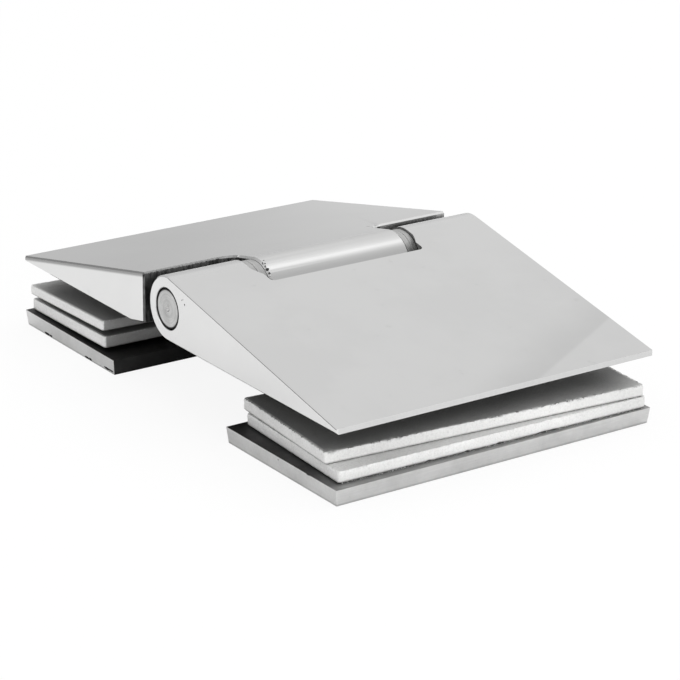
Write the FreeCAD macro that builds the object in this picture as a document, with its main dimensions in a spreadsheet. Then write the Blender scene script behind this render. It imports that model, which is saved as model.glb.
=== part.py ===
import FreeCAD, Part
import Sketcher
import math
import os

# Glass-to-glass door hinge, lying on its back plates as on a table.
# X runs along the hinge axis, the near end is the one at minus X.
# The right leaf lies towards minus Y, the left leaf towards plus Y.
# Z is up, and the back plates stand on the plane z = 0.

os.makedirs("parts", exist_ok=True)
doc = FreeCAD.newDocument("GlassDoorHinge")

# Driving sizes in millimetres and degrees, with what each one measures
SIZES = (
    ("leaf_length", 90, "right leaf along the hinge axis"),
    ("left_leaf_shortfall", 0.6, "left leaf shorter than the right one"),
    ("left_leaf_shift", -0.2, "middle of the left leaf along the axis"),
    ("leaf_reach", 70, "hinge axis to the tip of a leaf"),
    ("tip_thickness", 1.4, "height of a leaf at its tip"),
    ("edge_bevel", 0.4, "bevel round the outline of a leaf's end faces"),
    ("barrel_diameter", 16, "outside of the knuckles"),
    ("barrel_gap", 2.8, "air between the barrel and the wall across from it"),
    ("knuckle_length", 40.6, "centre knuckle along the axis"),
    ("knuckle_root_radius", 4, "corner between the centre knuckle and its leaf"),
    ("slot_corner_radius", 1.2, "inner corners of the slot for the centre knuckle"),
    ("recess_depth", 1.6, "turned recess for the washers in each slot end"),
    ("recess_rim", 1.9, "edge of that recess outside the barrel's radius"),
    ("inner_bevel", 0.5, "upper inner edges of the left leaf"),
    ("bevel_height", 1.2, "lower inner bevel of the left leaf, upwards"),
    ("bevel_reach", 6, "lower inner bevel of the left leaf, outwards"),
    ("knuckle_wall", 3, "knuckle outside the hinge pin, radial"),
    ("pin_recess", 0.2, "pin end below the knuckle's end face"),
    ("pin_chamfer", 0.3, "edge of the pin's ends"),
    ("pin_centre_radius", 0.6, "centre-drill dimple in the pin's ends"),
    ("pin_centre_depth", 0.5, "depth of that dimple"),
    ("pin_seat_clearance", 0.02, "pin to outer knuckle, radial"),
    ("pin_running_clearance", 0.05, "pin to bush, radial"),
    ("mouth_chamfer", 0.25, "edge of the pin bore at the end faces"),
    ("bush_wall", 0.95, "wall of a plain bush"),
    ("bush_length", 12, "plain bush along the axis"),
    ("washer_setback", 0.5, "thrust washers inside the barrel, radial"),
    ("washer_clearance", 0.1, "washer to pin, radial"),
    ("washer_gap", 0.1, "play at each face of a washer"),
    ("near_washer_thickness", 1.85, "the two washers at the near end"),
    ("far_washer_thickness", 1.4, "the two washers at the far end"),
    ("pin_screw_inset", 11, "grub screws that hold the pin, from the leaf's ends"),
    ("pin_screw_diameter", 3, "such a grub screw"),
    ("pin_screw_recess", 0.3, "its socket end above the leaf's underside"),
    ("pin_screw_hex", 1.5, "its hex socket across flats"),
    ("pin_screw_socket_depth", 1.1, "depth of its hex socket"),
    ("pin_spot_depth", 0.3, "spot in the pin under a grub screw"),
    ("plate_width", 44.5, "back plate across the axis"),
    ("plate_thickness", 4, "back plate"),
    ("plate_draft", 0.45, "how far the plate's sides lean in at its foot"),
    ("clamp_gap", 13.1, "back plate to leaf, with the screws backed off"),
    ("screw_end_inset", 23, "clamp screws from the leaf's ends"),
    ("screw_tip_inset", 25, "clamp screws from the tip of the leaf"),
    ("screw_diameter", 6, "clamp screw's shank"),
    ("screw_engagement", 3.9, "clamp screw's reach into the leaf"),
    ("screw_head_rim", 3, "its countersunk head outside the shank, radial"),
    ("screw_head_angle", 90, "angle of the head's cone"),
    ("screw_hex", 4, "its hex socket across flats"),
    ("screw_socket_depth", 2.2, "depth of its hex socket"),
    ("screw_play", 0.3, "plate to screw, radial"),
    ("tapped_spare", 0.7, "blind tapped hole beyond the screw's tip"),
    ("gasket_side_setback", 3.25, "gasket inside the plate, at each long side"),
    ("left_gasket_setback", 1.5, "left gaskets inside the plate, at each end"),
    ("right_gasket_setback", 1.75, "right gaskets inside the plate, at each end"),
    ("gasket_hole_play", 4, "holes of a gasket round the screws, radial"),
    ("gasket_thickness", 2.95, "right gaskets"),
    ("left_lower_thickness", 3.0, "left lower gasket"),
    ("left_upper_thickness", 2.54, "left upper gasket"),
    ("gasket_seat_gap", 0.05, "air under the edge that a tilted gasket stands on"),
    ("right_lower_shift_x", 1.7, "right lower gasket off its place, along the axis"),
    ("right_lower_shift_y", -0.55, "the same across the axis"),
    ("right_lower_turn", -3.0, "the same, turned on the plate"),
    ("right_upper_shift_x", 1.6, "right upper gasket off its place, along the axis"),
    ("right_upper_shift_y", 0.55, "the same across the axis"),
    ("right_upper_turn", -4.5, "the same, turned on the plate"),
    ("left_lower_shift_x", -0.3, "left lower gasket off its place, along the axis"),
    ("left_lower_shift_y", 1.65, "the same across the axis"),
    ("left_lower_turn", -1.0, "the same, turned on the plate"),
    ("left_lower_tilt", 1.6, "its inner edge raised"),
    ("left_upper_shift_x", -0.9, "left upper gasket off its place, along the axis"),
    ("left_upper_shift_y", 1.55, "the same across the axis"),
    ("left_upper_turn", -1.0, "the same, turned on the plate"),
    ("left_upper_tilt", 2.2, "its inner edge raised"),
    ("left_upper_slope", 0.8, "its near end raised"),
)

sheet = doc.addObject("Spreadsheet::Sheet", "sizes")
for row, (alias, size, meaning) in enumerate(SIZES, start=1):
    sheet.set(f"A{row}", meaning)
    sheet.set(f"B{row}", str(size))
    sheet.setAlias(f"B{row}", alias)
doc.recompute()

# Places that several pieces share, worked out from the sheet
UNDERSIDE = "(sizes.plate_thickness + sizes.clamp_gap)"
BARREL_RADIUS = "(sizes.barrel_diameter / 2)"
AXIS_HEIGHT = f"({UNDERSIDE} + {BARREL_RADIUS})"
INNER_WALL = f"({BARREL_RADIUS} + sizes.barrel_gap)"
KNUCKLE_END = "(sizes.knuckle_length / 2)"
WASHER_SEAT = {name: f"({KNUCKLE_END} + 2 * sizes.{name}_washer_thickness + 3 * sizes.washer_gap)"
               for name in ("near", "far")}
SLOT_END = {name: f"({seat} - sizes.recess_depth)" for name, seat in WASHER_SEAT.items()}
PIN_RADIUS = f"({BARREL_RADIUS} - sizes.knuckle_wall)"
BUSH_BORE = f"({PIN_RADIUS} + sizes.pin_running_clearance)"
BUSH_RADIUS = f"({BUSH_BORE} + sizes.bush_wall)"
PIN_SCREW_PLACE = "(sizes.leaf_length / 2 - sizes.pin_screw_inset)"
SCREW_PLACE = "(sizes.leaf_length / 2 - sizes.screw_end_inset)"
SCREW_LINE = "(sizes.leaf_reach - sizes.screw_tip_inset)"
SCREW_RADIUS = "(sizes.screw_diameter / 2)"
HEAD_RADIUS = f"({SCREW_RADIUS} + sizes.screw_head_rim)"
HEAD_HEIGHT = "(sizes.screw_head_rim / tan(sizes.screw_head_angle / 2))"
PLATE_MIDDLE = "(sizes.leaf_reach - sizes.plate_width / 2)"
GASKET_WIDTH = "(sizes.plate_width - 2 * sizes.gasket_side_setback)"
GASKET_LENGTH = {name: f"(sizes.leaf_length - 2 * sizes.{name}_gasket_setback)"
                 for name in ("right", "left")}

# Lengths of cuts that only have to pass right through
PAST_BARREL = "(2 * sizes.barrel_diameter)"
PAST_ENDS = "(2 * sizes.leaf_length)"
PAST_HEIGHT = f"(4 * {AXIS_HEIGHT})"

RIGHT = -1
LEFT = 1
ENDS = (("near", -1), ("far", 1))
TOUCH = 1e-6         # places nearer to each other than this are one
LEAST_CUT = 1e-3     # a cut takes away at least this volume


def number(expression):
    """The value of an expression of the sheet."""
    return float(sheet.evalExpression(expression))


def new_body(label):
    body = doc.addObject("PartDesign::Body", label)
    body.Label = label
    return body


def new_sketch(body, role, name, offset="0"):
    """A sketch on one of the body's own planes, moved along that plane's normal."""
    sketch = body.newObject("Sketcher::SketchObject", f"{body.Label}_{name}")
    plane = [feature for feature in body.Origin.OriginFeatures if feature.Role == role][0]
    sketch.AttachmentSupport = [(plane, "")]
    sketch.MapMode = "FlatFace"
    sketch.setExpression("AttachmentOffset.Base.z", offset)
    return sketch


def constrain(sketch, kind, *target, size):
    index = sketch.addConstraint(Sketcher.Constraint(kind, *target, number(size)))
    sketch.setExpression(f"Constraints[{index}]", size)


def fix_point(sketch, geometry, point, x, y):
    constrain(sketch, "DistanceX", -1, 1, geometry, point, size=x)
    constrain(sketch, "DistanceY", -1, 1, geometry, point, size=y)


def draw_circle(sketch, x, y, radius):
    """A circle whose middle and radius are expressions of the sheet."""
    place = FreeCAD.Vector(number(x), number(y), 0)
    ring = sketch.addGeometry(Part.Circle(place, FreeCAD.Vector(0, 0, 1), number(radius)))
    fix_point(sketch, ring, 3, x, y)
    constrain(sketch, "Radius", ring, size=radius)


def draw_polygon(sketch, corners):
    """A closed outline of straight lines, each corner held by its own two sizes."""
    places = [FreeCAD.Vector(number(x), number(y), 0) for x, y in corners]
    first = sketch.GeometryCount
    for start, end in zip(places, places[1:] + places[:1]):
        sketch.addGeometry(Part.LineSegment(start, end))
    for index, (x, y) in enumerate(corners):
        before = first + (index - 1) % len(corners)
        sketch.addConstraint(Sketcher.Constraint("Coincident", before, 2, first + index, 1))
        fix_point(sketch, first + index, 1, x, y)


def draw_rectangle(sketch, left, right, bottom, top):
    draw_polygon(sketch, ((left, bottom), (right, bottom), (right, top), (left, top)))


def draw_hexagon(sketch, flats):
    corner = f"{flats} / 2 / cos(30)"
    draw_polygon(sketch, [(f"{corner} * cos({60 * step})", f"{corner} * sin({60 * step})")
                          for step in range(6)])


def pad(body, sketch, length, symmetric=False):
    feature = body.newObject("PartDesign::Pad", f"{sketch.Name}_pad")
    feature.Profile = sketch
    feature.SideType = "Symmetric" if symmetric else "One side"
    feature.setExpression("Length", length)
    doc.recompute()
    return feature


def check_cut(body, volume):
    """A cut that misses the solid shows no error, so the volume tells."""
    if body.Shape.Volume > volume - LEAST_CUT:
        raise RuntimeError(f"{body.Tip.Name} cuts nothing from {body.Label}")


def pocket(body, sketch, length, upward=False, symmetric=False):
    """A cut against the sketch's normal, or with upward along it."""
    volume = body.Shape.Volume
    feature = body.newObject("PartDesign::Pocket", f"{sketch.Name}_cut")
    feature.Profile = sketch
    feature.SideType = "Symmetric" if symmetric else "One side"
    feature.Reversed = upward
    feature.setExpression("Length", length)
    doc.recompute()
    check_cut(body, volume)


def revolve(body, sketch, kind="Revolution"):
    """A full turn about the sketch's own horizontal axis, or with Groove a turned cut."""
    feature = body.newObject(f"PartDesign::{kind}", f"{sketch.Name}_turned")
    feature.Profile = sketch
    feature.ReferenceAxis = (sketch, ["H_Axis"])
    feature.Angle = 360
    doc.recompute()


def dress_edges(body, kind, name, wanted, **sizes):
    """A fillet or chamfer on the edges of the latest shape that pass the test."""
    base = body.Tip
    names = [f"Edge{index}" for index, edge in enumerate(base.Shape.Edges, start=1) if wanted(edge)]
    feature = body.newObject(f"PartDesign::{kind}", f"{body.Label}_{name}")
    feature.Base = (base, names)
    for size, expression in sizes.items():
        feature.setExpression(size, expression)
    doc.recompute()


def across_axis(edge, places):
    """An edge that lies in a plane square to the hinge axis, at one of the places along it."""
    box = edge.BoundBox
    return box.XLength < TOUCH and min(abs(box.XMin - place) for place in places) < TOUCH


def bevel_end_outlines(body, ends):
    """A small bevel round the outline of a leaf's two end faces."""
    dress_edges(body, "Chamfer", "end_bevels", lambda edge: across_axis(edge, ends),
                Size="sizes.edge_bevel")


def upright_at(edge, y):
    """An upright edge at a distance y from the hinge axis."""
    box = edge.BoundBox
    return max(box.XLength, box.YLength) < TOUCH and abs(box.YMin - y) < TOUCH


def leaf_profile(sketch, side):
    """The wedge with its knuckle: sketch x is the part's Y, sketch y its Z."""
    reach = f"{side} * sizes.leaf_reach"
    tip_top = f"{UNDERSIDE} + sizes.tip_thickness"
    radius = number(BARREL_RADIUS)
    axis = FreeCAD.Vector(0, number(AXIS_HEIGHT), 0)
    tip_low = FreeCAD.Vector(number(reach), number(UNDERSIDE), 0)
    tip_high = FreeCAD.Vector(number(reach), number(tip_top), 0)
    foot = FreeCAD.Vector(0, number(UNDERSIDE), 0)

    # the upper face leaves the barrel as a tangent through the top of the tip
    run = abs(tip_high.x)
    drop = axis.y - tip_high.y
    slope = math.asin(radius / math.hypot(run, drop)) + math.atan2(drop, run)
    crown = axis + FreeCAD.Vector(side * math.sin(slope), math.cos(slope), 0) * radius

    bottom = sketch.addGeometry(Part.LineSegment(foot, tip_low))
    tip = sketch.addGeometry(Part.LineSegment(tip_low, tip_high))
    top = sketch.addGeometry(Part.LineSegment(tip_high, crown))
    outside = Part.Circle(axis, FreeCAD.Vector(0, 0, 1), radius)
    sweep = ((-math.pi / 2, math.pi / 2 + slope) if side == RIGHT
             else (math.pi / 2 - slope, math.pi * 3 / 2))
    foot_end, crown_end = (1, 2) if side == RIGHT else (2, 1)
    barrel = sketch.addGeometry(Part.ArcOfCircle(outside, *sweep))

    for first, second in ((bottom, tip), (tip, top)):
        sketch.addConstraint(Sketcher.Constraint("Coincident", first, 2, second, 1))
    sketch.addConstraint(Sketcher.Constraint("Tangent", top, 2, barrel, crown_end))
    sketch.addConstraint(Sketcher.Constraint("Tangent", barrel, foot_end, bottom, 1))
    fix_point(sketch, bottom, 2, reach, UNDERSIDE)
    fix_point(sketch, tip, 2, reach, tip_top)
    fix_point(sketch, barrel, 3, "0", AXIS_HEIGHT)
    constrain(sketch, "Radius", barrel, size=BARREL_RADIUS)


def cut_tapped_holes(body, side):
    """The two blind tapped holes that the leaf's clamp screws turn into."""
    sketch = new_sketch(body, "XY_Plane", "tapped_holes", UNDERSIDE)
    for _, end in ENDS:
        draw_circle(sketch, f"{end} * {SCREW_PLACE}", f"{side} * {SCREW_LINE}", SCREW_RADIUS)
    pocket(body, sketch, "sizes.screw_engagement + sizes.tapped_spare", upward=True)


def cut_bore(body, radius):
    sketch = new_sketch(body, "YZ_Plane", "bore")
    draw_circle(sketch, "0", AXIS_HEIGHT, radius)
    pocket(body, sketch, PAST_ENDS, symmetric=True)


def make_right_leaf():
    """Wedge with two outer knuckles, which hold the pin."""
    body = new_body("right_leaf")
    sketch = new_sketch(body, "YZ_Plane", "profile")
    leaf_profile(sketch, RIGHT)
    pad(body, sketch, "sizes.leaf_length", symmetric=True)
    half = number("sizes.leaf_length / 2")
    bevel_end_outlines(body, (-half, half))

    slot = new_sketch(body, "XY_Plane", "slot")
    draw_rectangle(slot, f"-{SLOT_END['near']}", SLOT_END["far"], f"-{INNER_WALL}", PAST_BARREL)
    pocket(body, slot, PAST_HEIGHT, symmetric=True)
    dress_edges(body, "Fillet", "slot_corners", lambda edge: upright_at(edge, -number(INNER_WALL)),
                Radius="sizes.slot_corner_radius")

    # each slot end is turned out round the axis, so that the washers lie in it
    rim = f"({BARREL_RADIUS} + sizes.recess_rim)"
    for name, end in ENDS:
        recess = new_sketch(body, "XY_Plane", f"{name}_recess", AXIS_HEIGHT)
        wall = f"{end} * {SLOT_END[name]}"
        floor = f"{end} * {WASHER_SEAT[name]}"
        draw_polygon(recess, ((wall, "0"), (wall, rim), (floor, f"{rim} - sizes.recess_depth"), (floor, "0")))
        volume = body.Shape.Volume
        revolve(body, recess, "Groove")
        check_cut(body, volume)

    cut_bore(body, f"{PIN_RADIUS} + sizes.pin_seat_clearance")
    dress_edges(body, "Chamfer", "bore_mouths",
                lambda edge: edge.isClosed() and across_axis(edge, (-half, half)),
                Size="sizes.mouth_chamfer")
    cut_tapped_holes(body, RIGHT)
    sketch = new_sketch(body, "XY_Plane", "pin_screw_holes", UNDERSIDE)
    for _, end in ENDS:
        draw_circle(sketch, f"{end} * {PIN_SCREW_PLACE}", "0", "sizes.pin_screw_diameter / 2")
    pocket(body, sketch, BARREL_RADIUS, upward=True)


def make_left_leaf():
    """Wedge with the single centre knuckle, which turns on the pin."""
    body = new_body("left_leaf")
    sketch = new_sketch(body, "YZ_Plane", "profile", "sizes.left_leaf_shift")
    leaf_profile(sketch, LEFT)
    pad(body, sketch, "sizes.leaf_length - sizes.left_leaf_shortfall", symmetric=True)

    # beside the knuckle the barrel is cut away up to the inner wall
    relief = new_sketch(body, "XY_Plane", "relief")
    for end in (-1, 1):
        draw_rectangle(relief, f"{end} * {KNUCKLE_END}", f"{end} * sizes.leaf_length",
                       f"-{PAST_BARREL}", INNER_WALL)
    pocket(body, relief, PAST_HEIGHT, symmetric=True)
    inner_wall = number(INNER_WALL)
    axis_height = number(AXIS_HEIGHT)
    knuckle_end = number(KNUCKLE_END)

    def at_knuckle_root(edge):
        return upright_at(edge, inner_wall) and abs(edge.BoundBox.XMin) < knuckle_end + TOUCH

    def on_upper_inner_edge(edge):
        box = edge.BoundBox
        along_axis = max(box.YLength, box.ZLength) < TOUCH
        return along_axis and abs(box.YMin - inner_wall) < TOUCH and box.ZMin > axis_height

    dress_edges(body, "Fillet", "knuckle_root", at_knuckle_root, Radius="sizes.knuckle_root_radius")
    dress_edges(body, "Chamfer", "inner_bevels", on_upper_inner_edge, Size="sizes.inner_bevel")

    for name, end in ENDS:
        bevel = new_sketch(body, "YZ_Plane", f"{name}_bevel", f"{end} * {KNUCKLE_END}")
        draw_polygon(bevel, ((INNER_WALL, UNDERSIDE),
                             (f"{INNER_WALL} + sizes.bevel_reach", UNDERSIDE),
                             (INNER_WALL, f"{UNDERSIDE} + sizes.bevel_height")))
        pocket(body, bevel, "sizes.leaf_length", upward=end > 0)

    middle = number("sizes.left_leaf_shift")
    half = number("(sizes.leaf_length - sizes.left_leaf_shortfall) / 2")
    bevel_end_outlines(body, (middle - half, middle + half))
    cut_bore(body, BUSH_RADIUS)
    cut_tapped_holes(body, LEFT)


def make_pin():
    """Turned pin with a centre dimple in each end and a spot under each grub screw."""
    body = new_body("hinge_pin")
    half = "(sizes.leaf_length / 2 - sizes.pin_recess)"
    outline = [("{end} * ({half} - sizes.pin_centre_depth)", "0"),
               ("{end} * {half}", "sizes.pin_centre_radius"),
               ("{end} * {half}", "{radius} - sizes.pin_chamfer"),
               ("{end} * ({half} - sizes.pin_chamfer)", "{radius}")]
    corners = [(x.format(end=-1, half=half), y.format(radius=PIN_RADIUS)) for x, y in outline]
    corners += [(x.format(end=1, half=half), y.format(radius=PIN_RADIUS)) for x, y in reversed(outline)]
    sketch = new_sketch(body, "XY_Plane", "profile")
    draw_polygon(sketch, corners)
    revolve(body, sketch)

    spots = new_sketch(body, "XY_Plane", "spots", f"sizes.pin_spot_depth - {PIN_RADIUS}")
    for _, end in ENDS:
        draw_circle(spots, f"{end} * {PIN_SCREW_PLACE}", "0", "sizes.pin_screw_diameter / 2")
    pocket(body, spots, PIN_RADIUS)
    body.setExpression("Placement.Base.z", AXIS_HEIGHT)


def make_ring(label, start, length, bore, radius):
    """A bush or washer round the hinge axis, from start along X."""
    body = new_body(label)
    sketch = new_sketch(body, "YZ_Plane", "section")
    draw_circle(sketch, "0", "0", radius)
    draw_circle(sketch, "0", "0", bore)
    pad(body, sketch, length)
    body.setExpression("Placement.Base.x", start)
    body.setExpression("Placement.Base.z", AXIS_HEIGHT)


def make_rings():
    """Two bushes in the centre knuckle and two thrust washers at each end of it."""
    bush_start = {"near": f"-{KNUCKLE_END}", "far": f"{KNUCKLE_END} - sizes.bush_length"}
    washer_bore = f"{PIN_RADIUS} + sizes.washer_clearance"
    for name, end in ENDS:
        make_ring(f"{name}_bush", bush_start[name], "sizes.bush_length", BUSH_BORE, BUSH_RADIUS)
        thick = f"sizes.{name}_washer_thickness"
        for place, order in (("inner", 1), ("outer", 2)):
            face = f"({KNUCKLE_END} + {order} * sizes.washer_gap + {order - 1} * {thick})"
            start = face if end > 0 else f"-({face} + {thick})"
            make_ring(f"{name}_{place}_washer", start, thick, washer_bore,
                      f"{BARREL_RADIUS} - sizes.washer_setback")


def make_pin_screws():
    """Grub screws in the outer knuckles, from below up to the spots in the pin."""
    length = f"({BARREL_RADIUS} - {PIN_RADIUS} + sizes.pin_spot_depth - sizes.pin_screw_recess)"
    for name, end in ENDS:
        body = new_body(f"{name}_pin_screw")
        shank = new_sketch(body, "YZ_Plane", "shank")
        draw_circle(shank, "0", "0", "sizes.pin_screw_diameter / 2")
        pad(body, shank, length)
        socket = new_sketch(body, "YZ_Plane", "socket")
        draw_hexagon(socket, "sizes.pin_screw_hex")
        pocket(body, socket, "sizes.pin_screw_socket_depth", upward=True)
        stand_on_end(body, f"{end} * {PIN_SCREW_PLACE}", "0", f"{UNDERSIDE} + sizes.pin_screw_recess")


def stand_on_end(body, x, y, z):
    """A screw is drawn along X from its socket end; here it is turned to point up."""
    body.setExpression("Placement.Rotation.Pitch", "-90")
    body.setExpression("Placement.Base.x", x)
    body.setExpression("Placement.Base.y", y)
    body.setExpression("Placement.Base.z", z)


def make_clamp_screws():
    """Countersunk socket screws, heads down and level with the plate's foot."""
    length = f"({UNDERSIDE} + sizes.screw_engagement)"
    for side_name, side in (("right", RIGHT), ("left", LEFT)):
        for name, end in ENDS:
            body = new_body(f"{side_name}_{name}_clamp_screw")
            sketch = new_sketch(body, "XZ_Plane", "profile")
            draw_polygon(sketch, (("0", "0"), ("0", HEAD_RADIUS), (HEAD_HEIGHT, SCREW_RADIUS),
                                  (length, SCREW_RADIUS), (length, "0")))
            revolve(body, sketch)
            socket = new_sketch(body, "YZ_Plane", "socket")
            draw_hexagon(socket, "sizes.screw_hex")
            pocket(body, socket, "sizes.screw_socket_depth", upward=True)
            stand_on_end(body, f"{end} * {SCREW_PLACE}", f"{side} * {SCREW_LINE}", "0")


def make_back_plate(label, side):
    """Clamping plate with drafted sides and two countersunk holes from below."""
    body = new_body(label)
    sketch = new_sketch(body, "XY_Plane", "foot")
    half_x = "(sizes.leaf_length / 2 - sizes.plate_draft)"
    half_y = "(sizes.plate_width / 2 - sizes.plate_draft)"
    draw_rectangle(sketch, f"-{half_x}", half_x, f"-{half_y}", half_y)
    slab = pad(body, sketch, "sizes.plate_thickness")
    slab.setExpression("TaperAngle", "atan(sizes.plate_draft / sizes.plate_thickness)")

    holes = new_sketch(body, "XY_Plane", "holes")
    for _, end in ENDS:
        draw_circle(holes, f"{end} * {SCREW_PLACE}", f"{side} * ({SCREW_LINE} - {PLATE_MIDDLE})",
                    f"{SCREW_RADIUS} + sizes.screw_play")
    doc.recompute()
    volume = body.Shape.Volume
    drilled = body.newObject("PartDesign::Hole", f"{label}_countersunk")
    drilled.Profile = holes
    doc.recompute()
    drilled.ThreadType = "None"
    drilled.DepthType = "ThroughAll"
    drilled.HoleCutType = "Countersink"
    drilled.HoleCutCustomValues = True
    drilled.Reversed = True
    drilled.setExpression("Diameter", "sizes.screw_diameter + 2 * sizes.screw_play")
    drilled.setExpression("HoleCutDiameter", f"2 * ({HEAD_RADIUS} + sizes.screw_play)")
    drilled.setExpression("HoleCutCountersinkAngle", "sizes.screw_head_angle")
    doc.recompute()
    check_cut(body, volume)
    body.setExpression("Placement.Base.y", f"{side} * {PLATE_MIDDLE}")


def make_gasket(label, side, length, thickness, seat, tilt="0", slope="0"):
    """Soft pad with two large holes, lying a little askew on what is below it."""
    body = new_body(label)
    sketch = new_sketch(body, "XY_Plane", "outline")
    draw_rectangle(sketch, f"-{length} / 2", f"{length} / 2", f"-{GASKET_WIDTH} / 2", f"{GASKET_WIDTH} / 2")
    for _, end in ENDS:
        draw_circle(sketch, f"{end} * {SCREW_PLACE}", f"{side} * ({SCREW_LINE} - {PLATE_MIDDLE})",
                    f"{SCREW_RADIUS} + sizes.gasket_hole_play")
    pad(body, sketch, thickness)
    place = label.replace("_gasket", "")
    body.setExpression("Placement.Rotation.Yaw", f"sizes.{place}_turn")
    body.setExpression("Placement.Rotation.Pitch", slope)
    body.setExpression("Placement.Rotation.Roll", f"-({tilt})")
    body.setExpression("Placement.Base.x", f"sizes.{place}_shift_x")
    body.setExpression("Placement.Base.y", f"{side} * {PLATE_MIDDLE} + sizes.{place}_shift_y")
    body.setExpression("Placement.Base.z", seat)


def make_gaskets():
    plate = "sizes.plate_thickness"
    make_gasket("right_lower_gasket", RIGHT, GASKET_LENGTH["right"], "sizes.gasket_thickness", plate)
    make_gasket("right_upper_gasket", RIGHT, GASKET_LENGTH["right"], "sizes.gasket_thickness",
                f"{plate} + sizes.gasket_thickness")

    # the left pair stand on their outer edges, the upper one on its far corner
    half = f"{GASKET_WIDTH} / 2"
    lower_seat = f"({plate} + sizes.gasket_seat_gap + {half} * sin(sizes.left_lower_tilt))"
    upper_seat = (f"{lower_seat} + sizes.left_lower_thickness + sizes.gasket_seat_gap"
                  f" + {half} * (sin(sizes.left_upper_tilt) - sin(sizes.left_lower_tilt))"
                  f" + {GASKET_LENGTH['left']} / 2 * sin(sizes.left_upper_slope)")
    make_gasket("left_lower_gasket", LEFT, GASKET_LENGTH["left"], "sizes.left_lower_thickness",
                lower_seat, tilt="sizes.left_lower_tilt")
    make_gasket("left_upper_gasket", LEFT, GASKET_LENGTH["left"], "sizes.left_upper_thickness",
                upper_seat, tilt="sizes.left_upper_tilt", slope="sizes.left_upper_slope")


def write_parts():
    """Every object and every solid is checked before the first file is written."""
    doc.recompute()
    for thing in doc.Objects:
        if "Invalid" in thing.State or "Error" in thing.State:
            raise RuntimeError(f"{thing.Name} failed: {thing.State}")
    bodies = [thing for thing in doc.Objects if thing.TypeId == "PartDesign::Body"]
    for body in bodies:
        if body.Shape.isNull() or not body.Shape.isValid() or len(body.Shape.Solids) != 1:
            raise RuntimeError(f"{body.Label} is not one sound solid")
    for body in bodies:
        body.Shape.exportStep(os.path.join("parts", f"{body.Label}.step"))
        box = body.Shape.BoundBox
        print(f"{body.Label}: {body.Shape.Volume:.1f} mm3, z {box.ZMin:.2f} to {box.ZMax:.2f}")


make_right_leaf()
make_left_leaf()
make_pin()
make_rings()
make_pin_screws()
make_clamp_screws()
make_back_plate("right_back_plate", RIGHT)
make_back_plate("left_back_plate", LEFT)
make_gaskets()
write_parts()
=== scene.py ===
import bpy
import bmesh
import math
from mathutils import Matrix, Vector, noise


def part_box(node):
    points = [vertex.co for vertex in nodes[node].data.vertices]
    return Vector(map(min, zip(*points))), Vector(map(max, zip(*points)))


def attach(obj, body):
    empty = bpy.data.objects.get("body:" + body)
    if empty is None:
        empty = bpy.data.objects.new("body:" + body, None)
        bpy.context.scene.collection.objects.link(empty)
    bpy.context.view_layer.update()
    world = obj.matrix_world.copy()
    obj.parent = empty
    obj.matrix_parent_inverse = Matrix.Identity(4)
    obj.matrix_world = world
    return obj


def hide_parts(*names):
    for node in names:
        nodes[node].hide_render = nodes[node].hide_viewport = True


# Glass door hinge, in metres. X runs along the hinge axis, and its near end is the one at minus X.
# The right leaf lies towards minus Y, the left leaf towards plus Y, and both back plates stand on z = 0.

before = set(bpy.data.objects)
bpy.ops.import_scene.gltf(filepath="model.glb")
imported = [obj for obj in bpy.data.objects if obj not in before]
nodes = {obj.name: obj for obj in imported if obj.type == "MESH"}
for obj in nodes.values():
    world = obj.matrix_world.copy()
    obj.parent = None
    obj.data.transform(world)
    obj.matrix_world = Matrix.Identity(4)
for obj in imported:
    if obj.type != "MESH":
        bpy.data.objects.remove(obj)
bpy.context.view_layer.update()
mm = 0.001
weldDistance = 0.001 * mm
pinLow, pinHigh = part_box("hinge_pin")
axisHeight = (pinLow.z + pinHigh.z) / 2
pinRadius = (pinHigh.z - pinLow.z) / 2
print("frame loaded:", len(nodes), "solids")


# Meshes and modifiers

lumps = {
    "unevenness": 0.45,
    "grain": 1.7,
    "seed": (3.1, 7.7, 1.3),    # the first number for each lump in turn
}


def asObject(name, bm, sharpAngle=30):
    mesh = bpy.data.meshes.new(name)
    bm.to_mesh(mesh)
    bm.free()
    mesh.shade_smooth()
    mesh.set_sharp_from_angle(angle=math.radians(sharpAngle))
    piece = bpy.data.objects.new(name, mesh)
    bpy.context.scene.collection.objects.link(piece)
    return piece


def settle(piece):
    # the modifiers' result becomes the piece's own plain mesh
    graph = bpy.context.evaluated_depsgraph_get()
    mesh = bpy.data.meshes.new_from_object(
        piece.evaluated_get(graph), preserve_all_data_layers=True, depsgraph=graph)
    old = piece.data
    piece.modifiers.clear()
    piece.data = mesh
    mesh.name = piece.name
    bpy.data.meshes.remove(old)


def evenShading(piece, sharpAngle=30):
    # broad flat faces stay flat in their shading beside the rounds
    piece.data.shade_smooth()
    piece.data.set_sharp_from_angle(angle=math.radians(sharpAngle))
    weighted = piece.modifiers.new("weighted", "WEIGHTED_NORMAL")
    weighted.keep_sharp = True
    settle(piece)


def softenEdges(piece, width, angle=35):
    bevel = piece.modifiers.new("edges", "BEVEL")
    bevel.width = width
    bevel.segments = 2
    bevel.limit_method = "ANGLE"
    bevel.angle_limit = math.radians(angle)
    settle(piece)


def mergedCopy(nodeName):
    bm = bmesh.new()
    bm.from_mesh(nodes[nodeName].data)
    bmesh.ops.remove_doubles(bm, verts=bm.verts, dist=weldDistance)
    bmesh.ops.dissolve_limit(bm, angle_limit=math.radians(0.3), verts=bm.verts, edges=bm.edges)
    bm.normal_update()
    return bm


def markFaces(bm, name, rule):
    # a number on each face for its material, from the face's normal and its middle in millimetres
    layer = bm.faces.layers.float.new(name)
    for face in bm.faces:
        face[layer] = rule(face.normal, face.calc_center_bounds() / mm)


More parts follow.
